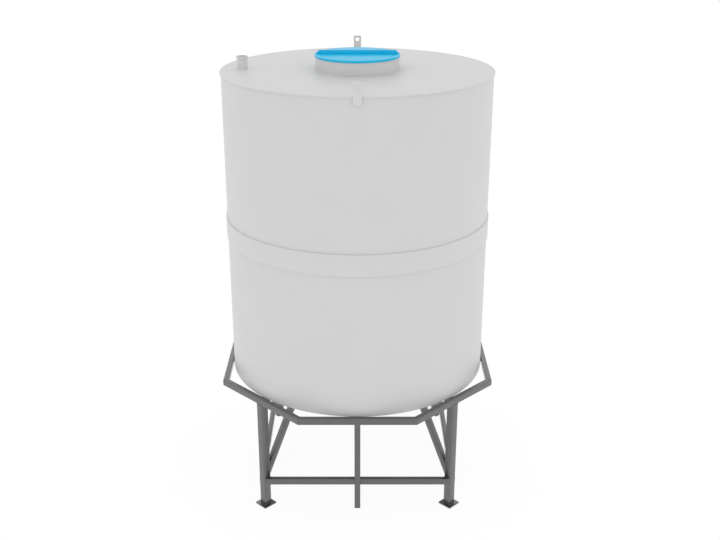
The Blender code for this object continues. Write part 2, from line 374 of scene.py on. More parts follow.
@dataclass(frozen=True)
class Finishes:
    """Every material of the tank, built once."""

    sheet: bpy.types.Material
    seam: bpy.types.Material
    pipe: bpy.types.Material
    lid: bpy.types.Material
    lid_seam: bpy.types.Material
    steel: bpy.types.Material
    steel_seam: bpy.types.Material

    @classmethod
    def build(cls) -> "Finishes":
        """Build the materials.

        Returns:
            The set of finishes.
        """
        return cls(
            # Pale grey extruded polypropylene sheet: milky, satin, faint die lines round the wall
            sheet=SheetFinish("extruded_polypropylene_sheet", "D1D1D1", "CDCDCD", 0.44,
                              line_depth_mm=0.04).build(),
            # Hand-laid extrusion weld in the same plastic: a touch glossier than the sheet
            seam=SheetFinish("extrusion_welded_polypropylene", "D1D1D1", "CBCBCB", 0.36,
                             drift_mm=25.0, ripple_mm=4.0).build(),
            # Extruded polypropylene pipe: slightly darker and glossier, fine lines along it
            pipe=SheetFinish("extruded_polypropylene_pipe", "D4D4D4", "CFCFCF", 0.36,
                             drift_mm=60.0, ripple_mm=5.0).build(),
            # Sky blue pressed polypropylene sheet: smooth, soft gloss
            lid=SheetFinish("pressed_blue_polypropylene", "00BDE8", "00B6E2", 0.33,
                            ior=1.42, drift_mm=160.0, ripple_mm=7.0, ripple_depth_mm=0.08).build(),
            # Hand-laid weld of the blue plastic beside the rib
            lid_seam=SheetFinish("extrusion_welded_blue_polypropylene", "0CAEDC", "06A4D2", 0.30,
                                 drift_mm=20.0, ripple_mm=4.0).build(),
            # Square steel tube sprayed metallic grey, clear coated: soft orange peel, slight clouding
            steel=PaintFinish("spray_painted_steel_tube", "656565", "5B5B5B", 0.30).build(),
            # Fillet welds under the same paint, a touch rougher and darker
            steel_seam=PaintFinish("spray_painted_steel_weld", "606060", "595959", 0.34,
                                   peel_mm=3.0, peel_depth_mm=0.16).build(),
        )


# Mesh building


def new_object(name: str, mesh: bpy.types.Mesh) -> bpy.types.Object:
    """Put a mesh into the scene under one name."""
    mesh.name = name
    obj = bpy.data.objects.new(name, mesh)
    bpy.context.scene.collection.objects.link(obj)
    return obj


def evaluated_mesh(obj: bpy.types.Object) -> bpy.types.Mesh:
    """Turn an object with its modifiers into a plain mesh and remove the object.

    Args:
        obj: A mesh or curve object.

    Returns:
        The mesh, with the object's place applied.
    """
    bpy.context.view_layer.update()
    graph = bpy.context.evaluated_depsgraph_get()
    mesh = bpy.data.meshes.new_from_object(obj.evaluated_get(graph), depsgraph=graph)
    mesh.transform(obj.matrix_world)
    bpy.data.objects.remove(obj, do_unlink=True)
    return mesh


def tidy_mesh(mesh: bpy.types.Mesh, sharp: float = 35.0) -> bpy.types.Mesh:
    """Merge doubles, turn the faces outwards and shade the mesh smooth up to an angle.

    Args:
        mesh: The mesh to finish.
        sharp: The angle in degrees over which an edge stays sharp.

    Returns:
        The same mesh.
    """
    solid = bmesh.new()
    solid.from_mesh(mesh)
    bmesh.ops.remove_doubles(solid, verts=solid.verts, dist=MERGE_DISTANCE)
    bmesh.ops.recalc_face_normals(solid, faces=solid.faces)
    solid.to_mesh(mesh)
    solid.free()
    mesh.shade_smooth()
    mesh.set_sharp_from_angle(angle=math.radians(sharp))
    return mesh


def joined(meshes: Sequence[bpy.types.Mesh]) -> bpy.types.Mesh:
    """Join meshes into one.

    Args:
        meshes: Meshes that share one frame.

    Returns:
        A new mesh with all their faces.
    """
    whole = bmesh.new()
    for mesh in meshes:
        whole.from_mesh(mesh)
    result = bpy.data.meshes.new("joined")
    whole.to_mesh(result)
    whole.free()
    return result


def rounded_outline(corners: Sequence[Corner], steps: int = 4, closed: bool = True) -> list[Vector]:
    """Round the corners of an outline with arcs.

    Args:
        corners: Points as (x, y, radius); a radius of 0 keeps the corner sharp.
        steps: Segments in each arc.
        closed: Whether the last corner joins the first.

    Returns:
        The points of the rounded outline.
    """
    outline: list[Vector] = []
    count = len(corners)
    for index, (x, y, radius) in enumerate(corners):
        point = Vector((x, y))
        at_end = not closed and index in (0, count - 1)
        if radius == 0.0 or at_end:
            outline.append(point)
            continue
        before = (Vector(corners[index - 1][:2]) - point).normalized()
        after = (Vector(corners[(index + 1) % count][:2]) - point).normalized()
        half = before.angle(after) / 2
        centre = point + (before + after).normalized() * radius / math.sin(half)
        first = point + before * radius / math.tan(half) - centre
        last = point + after * radius / math.tan(half) - centre
        sweep = math.pi - 2 * half
        for step in range(steps + 1):
            share = step / steps
            weight_first = math.sin((1 - share) * sweep) / math.sin(sweep)
            weight_last = math.sin(share * sweep) / math.sin(sweep)
            outline.append(centre + first * weight_first + last * weight_last)
    return outline


def turned_mesh(profile: Sequence[Vector], steps: int, closed: bool = True) -> bpy.types.Mesh:
    """Turn a profile of (radius, height) about the tank's axis.

    Args:
        profile: Points that run down the outer side first.
        steps: Segments of the full turn.
        closed: Whether the profile is a closed loop; otherwise both its ends lie on the axis.

    Returns:
        The turned mesh, with its faces outwards.
    """
    points: list[Point] = []
    rings: list[list[int]] = []
    for radius, height in profile:
        start = len(points)
        if radius < 1e-7:
            points.append((0.0, 0.0, height))
            rings.append([start] * steps)
            continue
        for step in range(steps):
            angle = FULL_TURN * step / steps
            points.append((radius * math.cos(angle), radius * math.sin(angle), height))
        rings.append(list(range(start, start + steps)))
    faces = []
    pairs = zip(rings, rings[1:] + (rings[:1] if closed else []))
    for upper, lower in pairs:
        for step in range(steps):
            after = (step + 1) % steps
            loop = [upper[step], lower[step], lower[after], upper[after]]
            faces.append(list(dict.fromkeys(loop)))
    mesh = bpy.data.meshes.new("turned")
    mesh.from_pydata(points, [], faces)
    return tidy_mesh(mesh)


def ring_profile(outer: float, inner: float, low: float, high: float, edge: float) -> list[Vector]:
    """Give the profile of a plain ring with rounded edges.

    Args:
        outer: The outer radius.
        inner: The inner radius.
        low: The height of the underside.
        high: The height of the top.
        edge: The radius of the four edges.

    Returns:
        The closed profile.
    """
    corners = ((outer, high, edge), (outer, low, edge), (inner, low, edge), (inner, high, edge))
    return rounded_outline(corners)


def plate_mesh(
    corners: Sequence[Corner],
    thickness: float,
    edge: float,
    holes: Sequence[Corner] = (),
) -> bpy.types.Mesh:
    """Cut a plate from an outline in the XY plane and round its edges.

    Args:
        corners: The outline as (x, y, radius).
        thickness: The plate's thickness, centred on the plane.
        edge: The radius of the edges.
        holes: Round holes as (x, y, radius).

    Returns:
        The plate's mesh.
    """
    hole_steps = 48
    curve = bpy.data.curves.new("plate", "CURVE")
    curve.dimensions = "2D"
    curve.fill_mode = "BOTH"
    curve.extrude = thickness / 2
    loops = [rounded_outline(corners)]
    for x, y, radius in holes:
        angles = [FULL_TURN * step / hole_steps for step in range(hole_steps)]
        loops.append([Vector((x + radius * math.cos(a), y + radius * math.sin(a))) for a in angles])
    for loop in loops:
        spline = curve.splines.new("POLY")
        spline.points.add(len(loop) - 1)
        for point, place in zip(spline.points, loop):
            point.co = (place.x, place.y, 0.0, 1.0)
        spline.use_cyclic_u = True
    flat = bpy.data.objects.new("plate", curve)
    bpy.context.scene.collection.objects.link(flat)
    plate = new_object("plate", tidy_mesh(evaluated_mesh(flat)))
    bevel = plate.modifiers.new("edges", "BEVEL")
    bevel.width = edge
    bevel.segments = 2
    bevel.limit_method = "ANGLE"
    bevel.angle_limit = math.radians(50)
    return tidy_mesh(evaluated_mesh(plate))


def bar_mesh(
    section: Sequence[Vector],
    start: Callable[[Vector], float],
    end: Callable[[Vector], float],
) -> bpy.types.Mesh:
    """Make a straight tube along X from its section, with each end cut to a plane.

    Args:
        section: The section's outline in (y, z).
        start: Gives the X of the start for a point of the section.
        end: Gives the X of the end for a point of the section.

    Returns:
        The closed mesh of the tube.
    """
    count = len(section)
    points = [(start(point), point.x, point.y) for point in section]
    points += [(end(point), point.x, point.y) for point in section]
    faces = [(i, (i + 1) % count, count + (i + 1) % count, count + i) for i in range(count)]
    faces.append(tuple(range(count)))
    faces.append(tuple(range(count, 2 * count)))
    mesh = bpy.data.meshes.new("bar")
    mesh.from_pydata(points, [], faces)
    return tidy_mesh(mesh)


def tube_section(low: Vector, high: Vector, corner: float) -> list[Vector]:
    """Give a rectangular tube's outline with its rounded corners.

    Args:
        low: The lowest point of the rectangle.
        high: The highest point of the rectangle.
        corner: The radius of the corners.

    Returns:
        The outline.
    """
    corners = (
        (low.x, low.y, corner),
        (high.x, low.y, corner),
        (high.x, high.y, corner),
        (low.x, high.y, corner),
    )
    return rounded_outline(corners, steps=5)


# Geometry Nodes trees


def new_tree(name: str, inputs: dict[str, str]) -> tuple[bpy.types.NodeTree, bpy.types.Node]:
    """Start a Geometry Nodes tree with named inputs.

    Args:
        name: The tree's name.
        inputs: The socket type of each input after the geometry, by name.

    Returns:
        The tree and its input node.
    """
    tree = bpy.data.node_groups.new(name, "GeometryNodeTree")
    tree.interface.new_socket("Geometry", in_out="INPUT", socket_type="NodeSocketGeometry")
    for label, kind in inputs.items():
        tree.interface.new_socket(label, in_out="INPUT", socket_type=kind)
    tree.interface.new_socket("Geometry", in_out="OUTPUT", socket_type="NodeSocketGeometry")
    return tree, add_node(tree, "NodeGroupInput", {}, {})


def end_tree(
    tree: bpy.types.NodeTree, geometry: bpy.types.NodeSocket, finish: bpy.types.NodeSocket
) -> None:
    """End a tree in Realize Instances and Set Material.

    Args:
        tree: The tree to end.
        geometry: What the tree has made.
        finish: The input that holds the material.
    """
    real = add_node(tree, "GeometryNodeRealizeInstances", {}, {0: geometry})
    inputs = {"Geometry": real.outputs[0], "Material": finish}
    dressed = add_node(tree, "GeometryNodeSetMaterial", {}, inputs)
    add_node(tree, "NodeGroupOutput", {}, {0: dressed.outputs[0]})


def run_tree(
    tree: bpy.types.NodeTree, mesh: bpy.types.Mesh, values: dict[str, object]
) -> bpy.types.Mesh:
    """Run a tree on a mesh and give the plain result.

    Args:
        tree: The Geometry Nodes tree.
        mesh: The mesh that it starts from.
        values: The value of each named input.

    Returns:
        The new mesh, with the modifier gone.
    """
    obj = new_object("source", mesh)
    modifier = obj.modifiers.new("tree", "NODES")
    modifier.node_group = tree
    for item in tree.interface.items_tree:
        if item.in_out == "INPUT" and item.name in values:
            modifier[item.identifier] = values[item.name]
    return evaluated_mesh(obj)


@dataclass(frozen=True)
class RoundTheAxis:
    """A tree that repeats a piece round the tank's axis."""

    tree: bpy.types.NodeTree

    @classmethod
    def build(cls) -> "RoundTheAxis":
        """Build the tree.

        Returns:
            The tree, ready to run.
        """
        inputs = {
            "Count": "NodeSocketInt",
            "First Turn": "NodeSocketFloat",
            "Finish": "NodeSocketMaterial",
        }
        tree, given = new_tree("repeat_round_the_axis", inputs)
        spots = add_node(tree, "GeometryNodePoints", {}, {"Count": given.outputs["Count"]})
        index = add_node(tree, "GeometryNodeInputIndex", {}, {})
        step = maths(tree, "DIVIDE", FULL_TURN, given.outputs["Count"])
        turn = maths(tree, "MULTIPLY_ADD", index.outputs[0], step, given.outputs["First Turn"])
        rotation = add_node(tree, "ShaderNodeCombineXYZ", {}, {"Z": turn})
        inputs = {
            "Points": spots.outputs[0],
            "Instance": given.outputs["Geometry"],
            "Rotation": rotation.outputs[0],
        }
        copies = add_node(tree, "GeometryNodeInstanceOnPoints", {}, inputs)
        end_tree(tree, copies.outputs[0], given.outputs["Finish"])
        return cls(tree)

    def run(
        self, mesh: bpy.types.Mesh, finish: bpy.types.Material, first: Enum, count: int = QUARTERS
    ) -> bpy.types.Mesh:
        """Repeat a mesh that lies on the front side.

        Args:
            mesh: The piece on the front side.
            finish: The material of the copies.
            first: The side or the diagonal of the first copy.
            count: The number of copies.

        Returns:
            One mesh with all the copies.
        """
        values = {"Count": count, "First Turn": math.radians(first.value), "Finish": finish}
        return tidy_mesh(run_tree(self.tree, mesh, values))


@dataclass(frozen=True)
class WeldSeam:
    """A tree that lays a rippled weld bead along the edges of a path."""

    tree: bpy.types.NodeTree

    @classmethod
    def build(cls) -> "WeldSeam":
        """Build the tree.

        Returns:
            The tree, ready to run.
        """
        inputs = {
            "Bead Width": "NodeSocketFloat",
            "Ripple Pitch": "NodeSocketFloat",
            "Ripple Share": "NodeSocketFloat",
            "Uneven Share": "NodeSocketFloat",
            "Sides": "NodeSocketInt",
            "Seed": "NodeSocketInt",
            "Finish": "NodeSocketMaterial",
        }
        tree, given = new_tree("weld_seam", inputs)
        value = given.outputs
        points_per_ripple = 3.0
        spacing = maths(tree, "DIVIDE", value["Ripple Pitch"], points_per_ripple)
        curve = add_node(tree, "GeometryNodeMeshToCurve", {}, {"Mesh": value["Geometry"]})
        inputs = {"Curve": curve.outputs[0], "Length": spacing}
        path = add_node(tree, "GeometryNodeResampleCurve", {"mode": "LENGTH"}, inputs)

        along = add_node(tree, "GeometryNodeSplineParameter", {}, {}).outputs["Length"]
        phase = maths(tree, "MULTIPLY", maths(tree, "DIVIDE", along, value["Ripple Pitch"]), FULL_TURN)
        wave = maths(tree, "SINE", phase)
        ripple = maths(tree, "MULTIPLY_ADD", wave, value["Ripple Share"], 1.0)

        place = add_node(tree, "GeometryNodeInputPosition", {}, {}).outputs[0]
        hand_mm = 45.0
        inputs = {"Vector": place, "W": value["Seed"], "Scale": waves_per_metre(hand_mm), "Detail": 1.0}
        hand = add_node(tree, "ShaderNodeTexNoise", {"noise_dimensions": "4D"}, inputs).outputs[0]
        swing = maths(tree, "SUBTRACT", hand, 0.5)
        size = maths(tree, "MULTIPLY_ADD", swing, value["Uneven Share"], ripple)
        half = maths(tree, "MULTIPLY", value["Bead Width"], 0.5)

        inputs = {"Resolution": value["Sides"], "Radius": 1.0}
        section = add_node(tree, "GeometryNodeCurvePrimitiveCircle", {}, inputs)
        inputs = {
            "Curve": path.outputs[0],
            "Profile Curve": section.outputs[0],
            "Scale": maths(tree, "MULTIPLY", size, half),
            "Fill Caps": True,
        }
        bead = add_node(tree, "GeometryNodeCurveToMesh", {}, inputs)
        end_tree(tree, bead.outputs[0], value["Finish"])
        return cls(tree)

    def run(
        self,
        paths: Sequence[Sequence[Point]],
        closed: bool,
        finish: bpy.types.Material,
        width: float,
        pitch: float,
        ripple: float = 0.10,
        sides: int = 6,
        seed: int = 1,
    ) -> bpy.types.Mesh:
        """Lay a bead along each path.

        Args:
            paths: Lists of points.
            closed: Whether each path joins up.
            finish: The material of the bead.
            width: The bead's width.
            pitch: The length of one ripple.
            ripple: How far a ripple stands out, as a share of the bead's half width.
            sides: Flats round the bead.
            seed: Seed of the unevenness of a hand-laid bead.

        Returns:
            The beads as one mesh.
        """
        points: list[Point] = []
        edges: list[tuple[int, int]] = []
        for path in paths:
            start = len(points)
            points += [tuple(point) for point in path]
            last = len(points) - 1
            edges += [(index, index + 1) for index in range(start, last)]
            if closed:
                edges.append((last, start))
        mesh = bpy.data.meshes.new("path")
        mesh.from_pydata(points, edges, [])
        values = {
            "Bead Width": width,
            "Ripple Pitch": pitch,
            "Ripple Share": ripple,
            "Uneven Share": 0.5,
            "Sides": sides,
            "Seed": seed,
            "Finish": finish,
        }
        return tidy_mesh(run_tree(self.tree, mesh, values), sharp=80.0)


@dataclass(frozen=True)
class Workshop:
    """What every sub-assembly builds with: the finishes and the trees."""

    finishes: Finishes
    repeat: RoundTheAxis
    weld: WeldSeam

    @classmethod
    def build(cls) -> "Workshop":
        """Set up the workshop.

        Returns:
            The finishes and the trees.
        """
        return cls(Finishes.build(), RoundTheAxis.build(), WeldSeam.build())


def hand_over(
    name: str,
    mesh: bpy.types.Mesh,
    finish: bpy.types.Material,
    body: Body,
    slot: Slot,
    nodes: Sequence[str] = (),
) -> bpy.types.Object:
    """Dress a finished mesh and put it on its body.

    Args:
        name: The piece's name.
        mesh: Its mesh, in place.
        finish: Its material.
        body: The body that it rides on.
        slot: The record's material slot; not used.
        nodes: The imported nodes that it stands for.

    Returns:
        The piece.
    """
    mesh.materials.clear()
    mesh.materials.append(finish)
    for face in mesh.polygons:
        face.material_index = 0
    piece = new_object(name, mesh)
    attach(piece, body.value)
    if nodes:
        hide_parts(*nodes)
    LOG.info("%s: %d faces on %s", name, len(mesh.polygons), body.value)
    return piece


def hand_over_seam(
    shop: Workshop,
    name: str,
    paths: Sequence[Sequence[Point]],
    width: float,
    pitch: float,
    seed: int,
) -> None:
    """Lay closed weld seams of pale plastic and put them on the tank.

    Args:
        shop: The workshop.
        name: The piece's name.
        paths: The closed paths.
        width: The bead's width.
        pitch: The length of one ripple.
        seed: Seed of the bead's unevenness.
    """
    finish = shop.finishes.seam
    mesh = shop.weld.run(paths, True, finish, width, pitch, seed=seed)
    hand_over(name, mesh, finish, Body.TANK, Slot.SHEET)


def circle_path(radius: float, height: float, centre: tuple[float, float] = (0.0, 0.0)) -> list[Point]:
    """Give a level circle as a path.

    Args:
        radius: The circle's radius.
        height: Its height.
        centre: Its middle.

    Returns:
        Points one spacing apart or closer.
    """
    spacing = 0.015
    steps = max(24, math.ceil(FULL_TURN * radius / spacing))
    path = []
    for step in range(steps):
        angle = FULL_TURN * step / steps
        path.append((centre[0] + radius * math.cos(angle), centre[1] + radius * math.sin(angle), height))
    return path


def rectangle_path(low: Vector, high: Vector, corner: float) -> list[Point]:
    """Give a rectangle with rounded corners as a path.

    Args:
        low: Its lowest corner, which shares one coordinate with the highest one.
        high: Its highest corner.
        corner: The radius of its corners.

    Returns:
        The points of the closed path.
    """
    level = min(range(3), key=lambda axis: high[axis] - low[axis])
    across, upward = (axis for axis in range(3) if axis != level)
    near = Vector((low[across], low[upward]))
    far = Vector((high[across], high[upward]))
    path = []
    for place in tube_section(near, far, corner):
        point = low.copy()
        point[across], point[upward] = place
        path.append(tuple(point))
    return path


# Sub-assemblies


@dataclass
class TankShell:
    """Wall in two courses, the strap over their joint and the floor plate, all of plastic sheet."""

    shop: Workshop
    wall_thickness: float = 0.010
    sheet_edge: float = 0.0012
    strap_edge: float = 0.0008
    steps: int = 256
    seam_width: float = 0.0045
    seam_pitch: float = 0.009
    lower: NodeBox = field(default_factory=lambda: NodeBox.of("tank_wall_lower"))
    upper: NodeBox = field(default_factory=lambda: NodeBox.of("tank_wall_upper"))
    strap: NodeBox = field(default_factory=lambda: NodeBox.of("wall_belt"))
    floor: NodeBox = field(default_factory=lambda: NodeBox.of("tank_floor"))

    def build(self) -> None:
        """Build the wall, the strap, the floor and their seams."""
        finishes = self.shop.finishes
        inner = self.lower.high.x - self.wall_thickness
        for name, box, node in (
            ("lower_wall_course", self.lower, "tank_wall_lower"),
            ("upper_wall_course", self.upper, "tank_wall_upper"),
        ):
            profile = ring_profile(box.high.x, inner, box.low.z, box.high.z, self.sheet_edge)
            mesh = turned_mesh(profile, self.steps)
            hand_over(name, mesh, finishes.sheet, Body.TANK, Slot.SHEET, [node])
        near = self.lower.high.x + JOINT_GAP
        low, high = self.strap.low.z, self.strap.high.z
        outer, edge = self.strap.high.x, self.strap_edge
        corners = ((outer, high, edge), (outer, low, edge), (near, low, 0.0), (near, high, 0.0))
        mesh = turned_mesh(rounded_outline(corners), self.steps)
        hand_over("joint_strap", mesh, finishes.sheet, Body.TANK, Slot.SHEET, ["wall_belt"])
        self.build_floor()
        self.build_seams(inner)

    def build_floor(self) -> None:
        """Build the round floor plate."""
        low, high = self.floor.low.z, self.floor.high.z
        edge = self.sheet_edge
        outer = self.floor.high.x
        corners = ((0.0, high, 0.0), (outer, high, edge), (outer, low, edge), (0.0, low, 0.0))
        mesh = turned_mesh(rounded_outline(corners, closed=False), self.steps, closed=False)
        hand_over("floor_plate", mesh, self.shop.finishes.sheet, Body.TANK, Slot.SHEET, ["tank_floor"])

    def build_seams(self, inner: float) -> None:
        """Lay the welds round the floor and the wall's joint inside, and along the strap outside.

        Args:
            inner: The wall's inner radius.
        """
        outer = self.lower.high.x
        for name, radius, heights, seed in (
            ("inside_wall_seams", inner, (self.floor.high.z, self.upper.low.z), 3),
            ("strap_seams", outer, (self.strap.low.z, self.strap.high.z), 4),
        ):
            paths = [circle_path(radius, height) for height in heights]
            hand_over_seam(self.shop, name, paths, self.seam_width, self.seam_pitch, seed)


@dataclass
class RoofDeck:
    """Flat round roof plate, open under the hatch and the vent and notched for the lugs."""

    shop: Workshop
    hatch_bore: float = 0.2965
    vent_bore: float = 0.0345
    edge: float = 0.0016
    steps: int = 288
    seam_width: float = 0.0040
    seam_pitch: float = 0.009
    roof: NodeBox = field(default_factory=lambda: NodeBox.of("tank_roof"))
    wall: NodeBox = field(default_factory=lambda: NodeBox.of("tank_wall_upper"))
    vent: NodeBox = field(default_factory=lambda: NodeBox.of("vent_pipe"))
    lug: NodeBox = field(default_factory=lambda: NodeBox.of("lifting_lug_front"))

    def cutter(self, mesh: bpy.types.Mesh, target: bpy.types.Object) -> bpy.types.Object:
        """Cut one closed mesh out of the roof.

        Args:
            mesh: The shape to take away.
            target: The roof.

        Returns:
            The cutter, to be removed after the cut.
        """
        tool = new_object("cutter", mesh)
        modifier = target.modifiers.new("cut", "BOOLEAN")
        modifier.operation = "DIFFERENCE"
        modifier.solver = "EXACT"
        modifier.object = tool
        return tool

    def build(self) -> None:
        """Build the roof plate and the seam under its edge."""
        low, high = self.roof.low.z, self.roof.high.z
        profile = ring_profile(self.roof.high.x, self.hatch_bore, low, high, self.edge)
        roof = new_object("roof", turned_mesh(profile, self.steps))
        reach = self.roof.size.z * 2
        bore_steps = 64
        hole = [Vector((self.vent_bore, high + reach)), Vector((self.vent_bore, low - reach))]
        hole = [Vector((0.0, high + reach)), *hole, Vector((0.0, low - reach))]
        bore = turned_mesh(hole, bore_steps, closed=False)
        bore.transform(Matrix.Translation((self.vent.centre.x, self.vent.centre.y, 0.0)))
        tools = [self.cutter(bore, roof)]
        half = self.lug.size.x / 2 + JOINT_GAP
        wall = self.wall.high.x
        for side in (-1, 1):
            near, far = sorted((side * wall, side * (wall + reach)))
            section = [Vector((near, low - reach)), Vector((far, low - reach)),
                       Vector((far, high + reach)), Vector((near, high + reach))]
            tools.append(self.cutter(bar_mesh(section, lambda _: -half, lambda _: half), roof))
        mesh = tidy_mesh(evaluated_mesh(roof))
        for tool in tools:
            bpy.data.objects.remove(tool, do_unlink=True)
        hand_over("roof_deck", mesh, self.shop.finishes.sheet, Body.TANK, Slot.SHEET, ["tank_roof"])
        paths = [circle_path(wall, low)]
        hand_over_seam(self.shop, "roof_seam", paths, self.seam_width, self.seam_pitch, 5)


@dataclass
class Hatch:
    """Round collar on the roof with a loose blue lid and its upright grip rib."""

    shop: Workshop
    collar_thickness: float = 0.012
    collar_edge: float = 0.0015
    lid_edge: float = 0.0012
    rib_edge: float = 0.0012
    rib_corner_cut: float = 0.024
    rib_corner: float = 0.006
    steps: int = 192
    seam_width: float = 0.0045
    seam_pitch: float = 0.007
    rib_seam_width: float = 0.0035
    rib_seam_pitch: float = 0.006
    collar: NodeBox = field(default_factory=lambda: NodeBox.of("hatch_collar"))
    lid: NodeBox = field(default_factory=lambda: NodeBox.of("hatch_lid"))
    rib: NodeBox = field(default_factory=lambda: NodeBox.of("lid_rib"))

    def build(self) -> None:
        """Build the collar, the lid and the rib with their seams."""
        self.build_collar()
        self.build_lid()
        self.build_rib()

    def build_collar(self) -> None:
        """Build the collar and the seam at its foot."""
        outer = self.collar.high.x
        inner = outer - self.collar_thickness
        foot = self.collar.low.z
        profile = ring_profile(outer, inner, foot, self.collar.high.z, self.collar_edge)
        mesh = turned_mesh(profile, self.steps)
        sheet = self.shop.finishes.sheet
        hand_over("hatch_collar_ring", mesh, sheet, Body.TANK, Slot.SHEET, ["hatch_collar"])
        paths = [circle_path(outer, foot)]
        hand_over_seam(self.shop, "collar_foot_seam", paths, self.seam_width, self.seam_pitch, 7)

    def build_lid(self) -> None:
        """Build the flat round lid with its softened edges."""
        low, high, outer = self.lid.low.z, self.lid.high.z, self.lid.high.x
        edge = self.lid_edge
        corners = ((0.0, high, 0.0), (outer, high, edge), (outer, low, edge / 2), (0.0, low, 0.0))
        mesh = turned_mesh(rounded_outline(corners, closed=False), self.steps, closed=False)
        finish = self.shop.finishes.lid
        hand_over("hatch_lid_plate", mesh, finish, Body.LID, Slot.LID_SHEET, ["hatch_lid"])

    def build_rib(self) -> None:
        """Build the upright rib across the lid and the welds along its foot."""
        finishes = self.shop.finishes
        half = self.rib.size.x / 2
        foot, height = self.rib.low.z, self.rib.size.z
        short = half - self.rib_corner_cut
        top = self.rib_corner
        corners = ((-half, 0.0, 0.0), (half, 0.0, 0.0), (short, height, top), (-short, height, top))
        mesh = plate_mesh(corners, self.rib.size.y, self.rib_edge)
        mesh.transform(Matrix.Translation((0.0, 0.0, foot)) @ Matrix.Rotation(math.radians(90), 4, "X"))
        hand_over("lid_grip_rib", mesh, finishes.lid, Body.LID, Slot.LID_SHEET, ["lid_rib"])
        side = self.rib.size.y / 2
        paths = [[(-half, y, foot), (half, y, foot)] for y in (-side, side)]
        seam = self.shop.weld.run(
            paths, False, finishes.lid_seam, self.rib_seam_width, self.rib_seam_pitch, seed=9
        )
        hand_over("rib_foot_seams", seam, finishes.lid_seam, Body.LID, Slot.LID_SHEET)


@dataclass
class VentPipe:
    """Short open vent pipe with a thicker rim, welded to the roof."""

    shop: Workshop
    outer: float = 0.0395
    bore: float = 0.0345
    rim_height: float = 0.013
    edge: float = 0.0012
    steps: int = 96
    seam_width: float = 0.0045
    seam_pitch: float = 0.006
    pipe: NodeBox = field(default_factory=lambda: NodeBox.of("vent_pipe"))

    def build(self) -> None:
        """Build the pipe with its rim, and the seam at its foot."""
        low, high = self.pipe.low.z, self.pipe.high.z
        rim = self.pipe.size.x / 2
        edge = self.edge
        corners = (
            (rim, high, edge),
            (rim, high - self.rim_height, edge),
            (self.outer, high - self.rim_height, 0.0),
            (self.outer, low, 0.0),
            (self.bore, low, 0.0),
            (self.bore, high, edge),
        )
        mesh = turned_mesh(rounded_outline(corners), self.steps)
        mesh.transform(Matrix.Translation((self.pipe.centre.x, self.pipe.centre.y, 0.0)))
        pipe = self.shop.finishes.pipe
        hand_over("vent_pipe_with_rim", mesh, pipe, Body.TANK, Slot.PIPE, ["vent_pipe"])
        paths = [circle_path(self.outer, low, (self.pipe.centre.x, self.pipe.centre.y))]
        hand_over_seam(self.shop, "vent_foot_seam", paths, self.seam_width, self.seam_pitch, 11)


@dataclass
class LiftingLugs:
    """Flat plates with a round hole, welded to the wall at the front and the rear."""

    shop: Workshop
    hole_radius: float = 0.016
    hole_from_top: float = 0.029
    corner: float = 0.003
    edge: float = 0.0012
    seam_width: float = 0.0045
    seam_pitch: float = 0.006
    lug: NodeBox = field(default_factory=lambda: NodeBox.of("lifting_lug_front"))
    roof: NodeBox = field(default_factory=lambda: NodeBox.of("tank_roof"))

    def build(self) -> None:
        """Build both lugs and the seams at their sides."""
        finishes = self.shop.finishes
        half = self.lug.size.x / 2
        height = self.lug.size.z
        corner = self.corner
        places = ((-half, 0.0), (half, 0.0), (half, height), (-half, height))
        corners = [(x, y, corner) for x, y in places]
        hole = (0.0, height - self.hole_from_top, self.hole_radius)
        plate = plate_mesh(corners, self.lug.size.y, self.edge, [hole])
        stand_up = Matrix.Rotation(math.radians(90), 4, "X")
        plate.transform(Matrix.Translation((0.0, self.lug.centre.y, self.lug.low.z)) @ stand_up)
        pair = self.shop.repeat.run(plate, finishes.sheet, Side.FRONT, count=2)
        nodes = ["lifting_lug_front", "lifting_lug_rear"]
        hand_over("lifting_lug_plates", pair, finishes.sheet, Body.TANK, Slot.SHEET, nodes)
        wall = self.lug.high.y
        low, high = self.lug.low.z, self.roof.low.z
        path = [(-half, wall, high), (-half, wall, low), (half, wall, low), (half, wall, high)]
        weld = self.shop.weld
        seam = weld.run([path], False, finishes.seam, self.seam_width, self.seam_pitch, seed=13)
        seams = self.shop.repeat.run(seam, finishes.seam, Side.FRONT, count=2)
        hand_over("lug_seams", seams, finishes.seam, Body.TANK, Slot.SHEET)


@dataclass(frozen=True)
class LevelTube:
    """A level tube on the front side, with both ends cut upright and slanting."""

    box: NodeBox
    slope: float
    corner: float

    @property
    def section(self) -> list[Vector]:
        """The tube's outline in (y, z)."""
        low, high = self.box.low, self.box.high
        return tube_section(Vector((low.y, low.z)), Vector((high.y, high.z)), self.corner)

    def half(self, point: Vector) -> float:
        """Give the tube's half length at one point of its section.

        Args:
            point: A point of the section.

        Returns:
            The distance from the middle of the side to the tube's end.
        """
        widest = -self.box.low.y if self.slope > 0 else -self.box.high.y
        return self.box.size.x / 2 + self.slope * (-point.x - widest)

    def mesh(self) -> bpy.types.Mesh:
        """Make the tube."""
        return bar_mesh(self.section, lambda point: -self.half(point), self.half)

    def end_path(self, hand: int) -> list[Point]:
        """Give the outline of one end.

        Args:
            hand: -1 for the left end, 1 for the right one.

        Returns:
            A closed path round the end.
        """
        return [(hand * self.half(point), point.x, point.y) for point in self.section]


